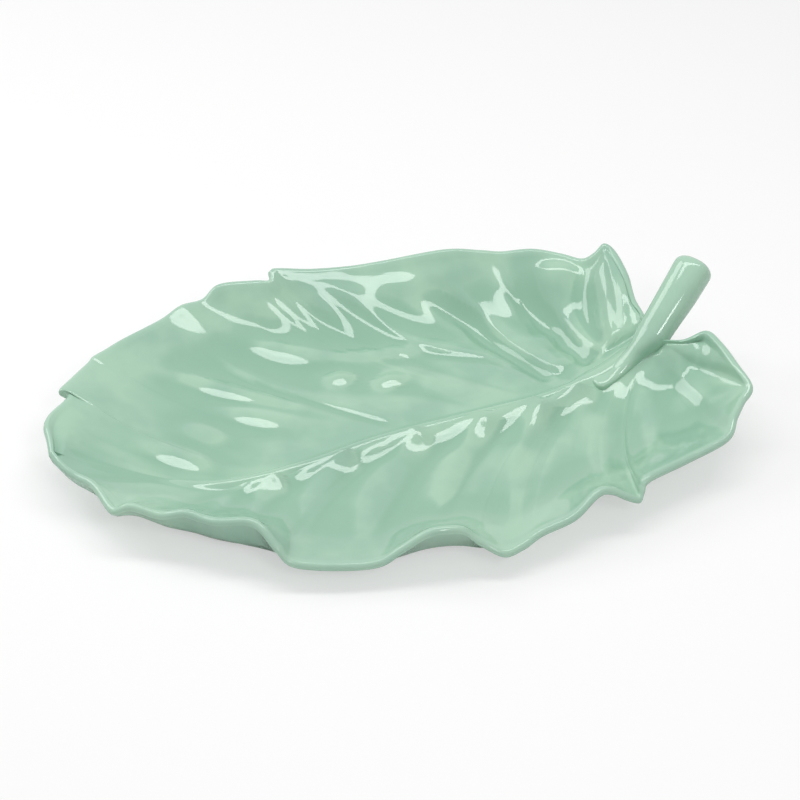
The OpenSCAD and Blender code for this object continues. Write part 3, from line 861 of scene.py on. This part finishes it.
@dataclass
class Midrib:
    """The raised midrib, a low rounded ridge that lies on the blade's seat."""

    form: LeafForm
    cuts: int = 330
    facets: int = 28
    crest: float = 0.5
    arch_power: float = 1.6
    skirt: float = 1.7
    nose_share: float = 0.12
    root_h: float = 0.0035
    sunk: float = 0.0002
    flush_share: float = 0.97
    thick: float = 0.0012
    thin: float = 0.35

    def rings(self, v: Array) -> Array:
        """Rings over the rounded top and back along the seat.

        Args:
            v: Vein numbers of the cuts.

        Returns:
            The points of each ring, the top's first.
        """
        form = self.form
        g = form.root_at(v)
        a, b = form.rib_edge(g, Side.NEAR), form.rib_edge(g, Side.FAR)
        s = np.linspace(0, 1, self.facets + 1)
        # The crest lies towards the far edge, and fades to the middle at the stem
        swell = form.swell(g)[:, None]
        lean, power = mix(1 + self.crest, 1.0, swell), mix(self.arch_power, 1.0, swell)
        arch = np.sin(math.pi * s[None] ** lean) ** power
        spread = mix(self.skirt, 1.0, swell)[..., None]
        base = a[:, None] + (b - a)[:, None] * ((s[None, :, None] - 0.5) * spread + 0.5)
        middle = np.column_stack([form.rib_xy(g), form.rib_z(g)])
        way = unit(np.gradient(middle, axis=0))
        across = form.rib_side(g)
        up = unit(np.cross(way, np.column_stack([across, np.zeros(len(g))])))
        # It rises out of the blade at the tip's end
        height = mix(mix(form.rib_tip_h, form.rib_h, form.grown(g)), self.root_h, form.swell(g))
        height = height * ease((g - form.root_share[form.rib_vein]) / self.nose_share)
        sink = self.sunk * (1 - ease((g - self.flush_share) / (1 - self.flush_share)))
        top = base + up[:, None] * (height[:, None] * arch - sink[:, None])[..., None]
        seat = base[:, -2:0:-1] - up[:, None] * self.thick
        return np.concatenate([top, seat], 1)

    def build(self, material: Material) -> Object:
        """Make the midrib up to the stem's neck.

        Args:
            material: Its finish.

        Returns:
            The piece.
        """
        rings = self.rings(np.linspace(self.form.rib_vein, self.form.last_vein, self.cuts))
        top = np.arange(rings.shape[1]) <= self.facets
        return make_tube("midrib_glazed", rings, material, top * self.thin)


@dataclass
class StemHandle:
    """The stem: a low blunt tongue sunk into the blade, and a straight shaft to a free end.

    Every ring is a rounded box about the stem's line, with its own half sizes. The tongue
    turns aside by its turn, in metres, on its way from the neck to its end.
    """

    form: LeafForm
    blade: LeafBlade
    end_w: float = 0.021
    end_t: float = 0.018
    end_x: float = 0.1689
    end_y: float = 0.020
    end_z: float = 0.0568
    knee_share: Triple = (0.5, 0.46, 0.53)
    tongue_l: float = 0.0334
    tongue_w: float = 0.0105
    tongue_h: float = 0.0024
    tongue_turn: float = 0.0075
    turn_power: float = 1.3
    taper_share: float = 0.4
    sunk: float = 0.004
    nose_l: float = 0.005
    cap_l: float = 0.007
    cap_power: float = 2.6
    section_power: float = 2.5
    facets: int = 56
    shaft_rings: int = 48
    tongue_rings: int = 50
    cap_rings: int = 18
    cap_turn: float = math.radians(88)
    free_pace: float = 1.4
    thin: float = 0.7

    @property
    def neck(self) -> Array:
        """Point where the stem leaves the blade."""
        one = np.array([1.0])
        return np.append(self.form.rib_xy(one)[0], self.form.rib_z(one)[0])

    def shaft(self, w: Array) -> tuple[Array, Array]:
        """The line of the free stem.

        Args:
            w: Shares of its way from the neck to its end.

        Returns:
            Its points and its directions there.
        """
        start, end = self.neck, np.array([self.end_x, self.end_y, self.end_z])
        knee = start + (end - start) * self.knee_share
        w = w[:, None]
        point = start * (1 - w) ** 2 + knee * 2 * w * (1 - w) + end * w * w
        return point, unit(mix(knee - start, end - knee, w))

    def tongue(self, back: Array) -> tuple[Array, Array]:
        """The line of the sunk tongue.

        Args:
            back: Distances in plan, back from the neck.

        Returns:
            Its points and its directions there.
        """
        way = self.shaft(np.array([0.0]))[1][0]
        flat = np.linalg.norm(way[:2])
        plan, climb = way[:2] / flat, way[2] / flat
        turn = np.array([-plan[1], plan[0]]) * self.tongue_turn
        low = self.blade.height_at(self.neck[:2] - plan * self.tongue_l + turn)
        bow = (low - self.neck[2] + climb * self.tongue_l) / self.tongue_l ** 2
        back, power = back[:, None], self.turn_power
        share = back / self.tongue_l
        point = np.hstack([self.neck[:2] - plan * back + turn * share ** power,
                           self.neck[2] - climb * back + bow * back ** 2])
        head = plan - turn * power * share ** (power - 1) / self.tongue_l
        return point, unit(np.hstack([head, climb - 2 * bow * back]))

    def oval(self, centre: Array, way: Array, half_w: Array, up_h: Array, low_h: Array) -> Array:
        """Rings about the stem's line.

        Args:
            centre: Middle of each ring.
            way: Direction of the stem at each ring.
            half_w: Half width of each ring.
            up_h: Height of each ring above its middle.
            low_h: Depth of each ring below its middle.

        Returns:
            The points of each ring.
        """
        side = unit(np.column_stack([-way[:, 1], way[:, 0], np.zeros(len(way))]))
        up = np.cross(way, side)
        a = np.arange(self.facets) * 2 * math.pi / self.facets
        x, y = (np.sign(c) * np.abs(c) ** (2 / self.section_power) for c in (np.cos(a), np.sin(a)))
        high = np.where(y > 0, up_h[:, None], low_h[:, None])
        return (centre[:, None] - side[:, None] * (x * half_w[:, None])[..., None]
                + up[:, None] * (y * high)[..., None])

    def rounded(self, end: tuple[Array, Array], length: float, sizes: Triple) -> Array:
        """Rings that close an end.

        Args:
            end: Its point and its direction.
            length: How far it goes out, below nought against the direction.
            sizes: Its half width, its height and its depth.

        Returns:
            The points of each ring.
        """
        a = np.linspace(0, self.cap_turn, self.cap_rings + 1)[1:]
        into, out = np.cos(a) ** (2 / self.cap_power), np.sin(a) ** (2 / self.cap_power)
        point, way = (np.repeat(e, len(a), axis=0) for e in end)
        return self.oval(point + way * (length * out)[:, None], way,
                         *(size * into for size in sizes))

    def build(self, material: Material) -> Object:
        """Make the stem's tongue, shaft and rounded ends as one closed mesh.

        Args:
            material: Its finish.

        Returns:
            The piece.
        """
        form = self.form
        one, last = np.array([1.0]), np.array([self.tongue_l])
        nose = self.rounded(self.tongue(last), -self.nose_l,
                            (self.tongue_w / 2, self.tongue_h, self.sunk))[::-1]
        back = np.linspace(self.tongue_l, 0, self.tongue_rings + 1)
        k = ease(1 - back / self.tongue_l / self.taper_share)
        sunk = self.oval(*self.tongue(back), mix(self.tongue_w, form.stem_neck_w, k) / 2,
                         mix(self.tongue_h, form.stem_root_h, ease(1 - back / self.tongue_l)),
                         np.full(len(k), self.sunk))
        w = np.linspace(0, 1, self.shaft_rings + 1)[1:]
        free = self.oval(*self.shaft(w), mix(form.stem_neck_w, self.end_w, w) / 2,
                         mix(form.stem_root_h, self.end_t / 2, ease(w)),
                         mix(self.sunk, self.end_t / 2, ease(w * self.free_pace)))
        cap = self.rounded(self.shaft(one), self.cap_l,
                           (self.end_w / 2, self.end_t / 2, self.end_t / 2))
        return make_tube("stem_handle_glazed", np.concatenate([nose, sunk, free, cap]), material,
                         self.thin)


@dataclass
class NodeKit:
    """A tree of nodes, with short ways to add nodes and to feed their inputs."""

    tree: bpy.types.NodeTree

    @property
    def shader(self) -> Node:
        """The shader that a material starts with."""
        return self.tree.nodes["Principled BSDF"]

    def feed(self, node: Node, inputs: dict[int | str, object]) -> None:
        """Feed inputs of a node.

        Args:
            node: The node.
            inputs: For each input, by name or number, the socket to link or the value to
                set. A value of three is a colour.
        """
        for key, value in inputs.items():
            if isinstance(value, Socket):
                self.tree.links.new(value, node.inputs[key])
            else:
                node.inputs[key].default_value = (*value, 1) if isinstance(value, tuple) else value

    def add(self, kind: str, inputs: dict[int | str, object] | None = None,
            **settings: object) -> Node:
        """Add a node.

        Args:
            kind: Its type.
            inputs: What feed is to give it.
            settings: The node's own settings.

        Returns:
            The node.
        """
        node = self.tree.nodes.new(kind)
        for key, value in settings.items():
            setattr(node, key, value)
        self.feed(node, inputs or {})
        return node

    def calc(self, operation: str, a: object, b: object) -> Socket:
        """Result of one operation on two sockets or numbers."""
        return self.add("ShaderNodeMath", {0: a, 1: b}, operation=operation).outputs[0]

    def vector(self, *values: object) -> Socket:
        """Vector of three sockets or numbers."""
        return self.add("ShaderNodeCombineXYZ", dict(enumerate(values))).outputs[0]

    def ramp(self, value: Socket, span: Pair = (0, 1), ends: Pair = (0, 1)) -> Socket:
        """Number that goes from one end to the other while the value crosses the span."""
        return self.add("ShaderNodeMapRange", {
            "Value": value, "From Min": span[0], "From Max": span[1], "To Min": ends[0],
            "To Max": ends[1]}).outputs["Result"]

    def noise(self, scale: float, detail: float) -> Socket:
        """Soft noise on the piece's own place."""
        return self.add("ShaderNodeTexNoise", {
            "Vector": self.add("ShaderNodeTexCoord").outputs["Object"], "Scale": scale,
            "Detail": detail}).outputs["Fac"]

    def own(self, name: str) -> Socket:
        """Value that the mesh carries."""
        return self.add("ShaderNodeAttribute", attribute_name=name).outputs["Fac"]

    def blend(self, share: Socket, a: object, b: object) -> Socket:
        """Colour a or b by share."""
        return self.add("ShaderNodeMix", {0: share, 6: a, 7: b}, data_type="RGBA").outputs[2]

    def bump(self, height: Socket, strength: float, distance: float) -> Socket:
        """Normal of a finely uneven surface."""
        return self.add("ShaderNodeBump", {
            "Height": height, "Strength": strength, "Distance": distance}).outputs["Normal"]


def new_material(name: str) -> tuple[Material, NodeKit]:
    """Make a material, and a kit for its nodes."""
    material = bpy.data.materials.new(name)
    material.use_nodes = True
    return material, NodeKit(material.node_tree)


@dataclass
class FootRing:
    """The unglazed foot: an oval band swept along its path by Geometry Nodes."""

    form: LeafForm
    length: float = 0.150
    width: float = 0.122
    band: float = 0.007
    x_share: float = -0.025
    round_edge: float = 0.0011
    round_steps: int = 6
    path_steps: int = 192
    sharp: float = math.radians(50)

    def tree(self, inputs: list[str], material: Material) -> bpy.types.NodeTree:
        """Node tree that sweeps a rounded band along an oval path.

        Args:
            inputs: Names of its sizes.
            material: The foot's finish.

        Returns:
            The tree.
        """
        tree = bpy.data.node_groups.new("foot_ring_sweep", "GeometryNodeTree")
        for name in inputs:
            tree.interface.new_socket(name, in_out="INPUT", socket_type="NodeSocketFloat")
        tree.interface.new_socket("Geometry", in_out="OUTPUT", socket_type="NodeSocketGeometry")
        kit = NodeKit(tree)
        size = kit.add("NodeGroupInput").outputs
        circle = kit.add("GeometryNodeCurvePrimitiveCircle",
                         {"Resolution": self.path_steps, "Radius": 0.5})
        oval = kit.add("GeometryNodeTransform", {
            "Geometry": circle.outputs["Curve"],
            "Scale": kit.vector(kit.calc("SUBTRACT", size["Length"], size["Band"]),
                                kit.calc("SUBTRACT", size["Width"], size["Band"]), 1.0),
            "Translation": kit.vector(size["Offset"], 0.0,
                                      kit.calc("MULTIPLY", size["Height"], 0.5))})
        profile = kit.add("GeometryNodeCurvePrimitiveQuadrilateral",
                          {"Height": size["Height"], "Width": size["Band"]})
        rounded = kit.add("GeometryNodeFilletCurve", mode="POLY")
        kit.feed(rounded, {"Count": self.round_steps, "Curve": profile.outputs["Curve"],
                           "Radius": size["Edge"]})
        sweep = kit.add("GeometryNodeCurveToMesh", {
            "Curve": oval.outputs["Geometry"], "Profile Curve": rounded.outputs["Curve"]})
        real = kit.add("GeometryNodeRealizeInstances", {"Geometry": sweep.outputs["Mesh"]})
        dress = kit.add("GeometryNodeSetMaterial",
                        {"Geometry": real.outputs["Geometry"], "Material": material})
        kit.add("NodeGroupOutput", {"Geometry": dress.outputs["Geometry"]})
        return tree

    def build(self, material: Material) -> Object:
        """Sweep the foot and keep it as a plain mesh.

        Args:
            material: Its finish.

        Returns:
            The piece.
        """
        host = add_object("foot_ring_path", bpy.data.meshes.new("foot_ring_path"))
        sweep = host.modifiers.new("sweep", "NODES")
        sizes = {"Length": self.length, "Width": self.width, "Band": self.band,
                 "Height": self.form.foot_h, "Edge": self.round_edge,
                 "Offset": self.x_share * self.form.plate_l}
        sweep.node_group = self.tree(list(sizes), material)
        for item in sweep.node_group.interface.items_tree:
            if item.in_out == "INPUT":
                sweep[item.identifier] = sizes[item.name]
        graph = bpy.context.evaluated_depsgraph_get()
        graph.update()
        mesh = bpy.data.meshes.new_from_object(host.evaluated_get(graph))
        host.modifiers.remove(sweep)
        bpy.data.objects.remove(host)
        mesh.shade_smooth()
        mesh.set_sharp_from_angle(angle=self.sharp)
        LOG.info("foot_ring_bare: %d faces", len(mesh.polygons))
        return add_object("foot_ring_bare", mesh)


@dataclass(frozen=True)
class Glaze:
    """Glossy celadon glaze, paler where it runs thin and deeper where it pools.

    A span is between which values of a noise, or of a value that the mesh carries, the
    colour comes in. A noise has its scale and its detail, a bump its strength and height.
    """

    body: Triple = (0.312, 0.517, 0.395)
    warm: Triple = (0.385, 0.600, 0.452)
    thin: Triple = (0.430, 0.640, 0.510)
    deep: Triple = (0.270, 0.480, 0.350)
    warm_span: Pair = (0.4, 0.6)
    deep_span: Pair = (0.05, 1.2)
    thin_span: Pair = (0.0, 2.6)
    roughness: float = 0.06
    ior: float = 1.5
    cloud: Pair = (28, 3)
    ripple: Pair = (55, 1)
    ripple_bump: Pair = (0.3, 0.0004)

    def build(self) -> Material:
        """Make the material."""
        material, kit = new_material("celadon_glaze")
        tone = kit.blend(kit.ramp(kit.noise(*self.cloud), self.warm_span), self.body, self.warm)
        tone = kit.blend(kit.ramp(kit.own("pool"), self.deep_span), tone, self.deep)
        tone = kit.blend(kit.ramp(kit.own("thin"), self.thin_span), tone, self.thin)
        kit.feed(kit.shader, {
            "Base Color": tone, "Roughness": self.roughness, "IOR": self.ior,
            "Normal": kit.bump(kit.noise(*self.ripple), *self.ripple_bump)})
        return material


@dataclass(frozen=True)
class Biscuit:
    """Bare fired stoneware with fine iron specks. Its pairs are as the glaze's."""

    clay: Triple = (0.72, 0.66, 0.56)
    sand: Triple = (0.60, 0.53, 0.43)
    speck: Triple = (0.25, 0.17, 0.11)
    speck_span: Pair = (0.68, 0.74)
    roughness: float = 0.85
    cloud: Pair = (60, 2)
    specks: Pair = (900, 2)
    grain_bump: Pair = (0.5, 0.0002)

    def build(self) -> Material:
        """Make the material."""
        material, kit = new_material("bare_stoneware")
        dots = kit.noise(*self.specks)
        base = kit.blend(kit.noise(*self.cloud), self.clay, self.sand)
        kit.feed(kit.shader, {
            "Base Color": kit.blend(kit.ramp(dots, self.speck_span), base, self.speck),
            "Roughness": self.roughness, "Normal": kit.bump(dots, *self.grain_bump)})
        return material


class Outline(Enum):
    """Outline of a lamp's face."""

    BOX = "RECTANGLE"
    ROUND = "DISK"


@dataclass(frozen=True)
class Lamp:
    """A lamp that faces the origin, with the radiance of its face."""

    name: str
    outline: Outline
    place: Triple
    size: Pair
    radiance: float

    def build(self) -> None:
        """Put the lamp in the scene."""
        data = bpy.data.lights.new(self.name, "AREA")
        data.shape = self.outline.value
        data.size, data.size_y = self.size
        area = self.size[0] * self.size[1] * (math.pi / 4 if self.outline is Outline.ROUND else 1)
        data.energy = self.radiance * math.pi * area
        add_object(self.name, data, Vector(self.place), Vector(self.place))


@dataclass
class Studio:
    """Pale floor, soft light and the camera.

    The plate gets the world's fill and the floor's bounce. The eye sees both whiter: that
    is what the floor's seen value and its glow are for.
    """

    azimuth: float = -17.0
    elevation: float = 38.0
    distance: float = 1.15
    lens: float = 100.9
    sensor_w: float = 36
    target: Triple = (0.0005, -0.0032, 0.0265)
    lamps: tuple[Lamp, ...] = (
        Lamp("softbox", Outline.BOX, (0.05, 0.15, 1.05), (1.20, 0.23), 6.2),
        Lamp("stem_lamp", Outline.ROUND, (-0.71, 0.62, 0.81), (0.60, 0.60), 4.0),
        Lamp("stem_lamp", Outline.ROUND, (0.05, -0.88, 0.84), (0.28, 0.28), 11.0))
    fill: float = 0.41
    floor_half: float = 3.0
    floor_roughness: float = 0.9
    floor_bounce: float = 0.9
    floor_seen: float = 0.95
    floor_glow: float = 0.5

    def camera(self) -> None:
        """Put the camera at the photograph's viewing angle."""
        a, e = math.radians(self.azimuth), math.radians(self.elevation)
        back = Vector((math.sin(a) * math.cos(e), -math.cos(a) * math.cos(e), math.sin(e)))
        data = bpy.data.cameras.new("camera")
        data.lens = self.lens
        data.sensor_width = self.sensor_w
        place = Vector(self.target) + back * self.distance
        bpy.context.scene.camera = add_object("camera", data, place, back)

    def world(self) -> None:
        """White surroundings for the eye and for reflections, softer light for the rest."""
        world = bpy.data.worlds.new("studio")
        bpy.context.scene.world = world
        world.use_nodes = True
        kit = NodeKit(world.node_tree)
        path = kit.add("ShaderNodeLightPath").outputs
        seen = kit.calc("MAXIMUM", path["Is Camera Ray"], path["Is Glossy Ray"])
        seen = kit.calc("MAXIMUM", seen, path["Is Transmission Ray"])
        kit.feed(world.node_tree.nodes["Background"],
                 {"Color": (1, 1, 1), "Strength": kit.ramp(seen, ends=(self.fill, 1.0))})

    def floor(self) -> None:
        """Lay a pale floor that keeps the shadow."""
        half = self.floor_half
        verts = np.array([(-half, -half, 0), (half, -half, 0), (half, half, 0), (-half, half, 0)])
        material, kit = new_material("pale_floor")
        eye = kit.add("ShaderNodeLightPath").outputs["Is Camera Ray"]
        kit.feed(kit.shader, {
            "Base Color": kit.ramp(eye, ends=(self.floor_bounce, self.floor_seen)),
            "Roughness": self.floor_roughness, "Specular IOR Level": 0.0})
        both = kit.add("ShaderNodeMixShader", {
            0: kit.calc("MULTIPLY", eye, self.floor_glow), 1: kit.shader.outputs["BSDF"],
            2: kit.add("ShaderNodeEmission").outputs["Emission"]})
        kit.feed(kit.tree.nodes["Material Output"], {"Surface": both.outputs["Shader"]})
        make_object("floor", verts, [(0, 1, 2, 3)], material)

    def build(self) -> None:
        """Set up the whole studio."""
        self.camera()
        for lamp in self.lamps:
            lamp.build()
        self.world()
        self.floor()
        bpy.context.scene.view_settings.view_transform = "Standard"


def main() -> None:
    """Build the four pieces, dress them and put them on the plate's one body."""
    logging.basicConfig(level=logging.INFO, format="%(name)s %(message)s")
    form = LeafForm()
    glaze, biscuit = Glaze().build(), Biscuit().build()
    blade = LeafBlade(form)
    pieces = {"leaf_blade": (blade.build(glaze), "glaze"),
              "midrib": (Midrib(form).build(glaze), "glaze"),
              "stem_handle": (StemHandle(form, blade).build(glaze), "glaze"),
              "foot_ring": (FootRing(form).build(biscuit), "bare_foot")}
    for node, (piece, slot) in pieces.items():
        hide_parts(node)
        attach(piece, "root")
        LOG.info("%s stands for %s", piece.name, node)
    Studio().build()


if __name__ == "__main__":
    main()
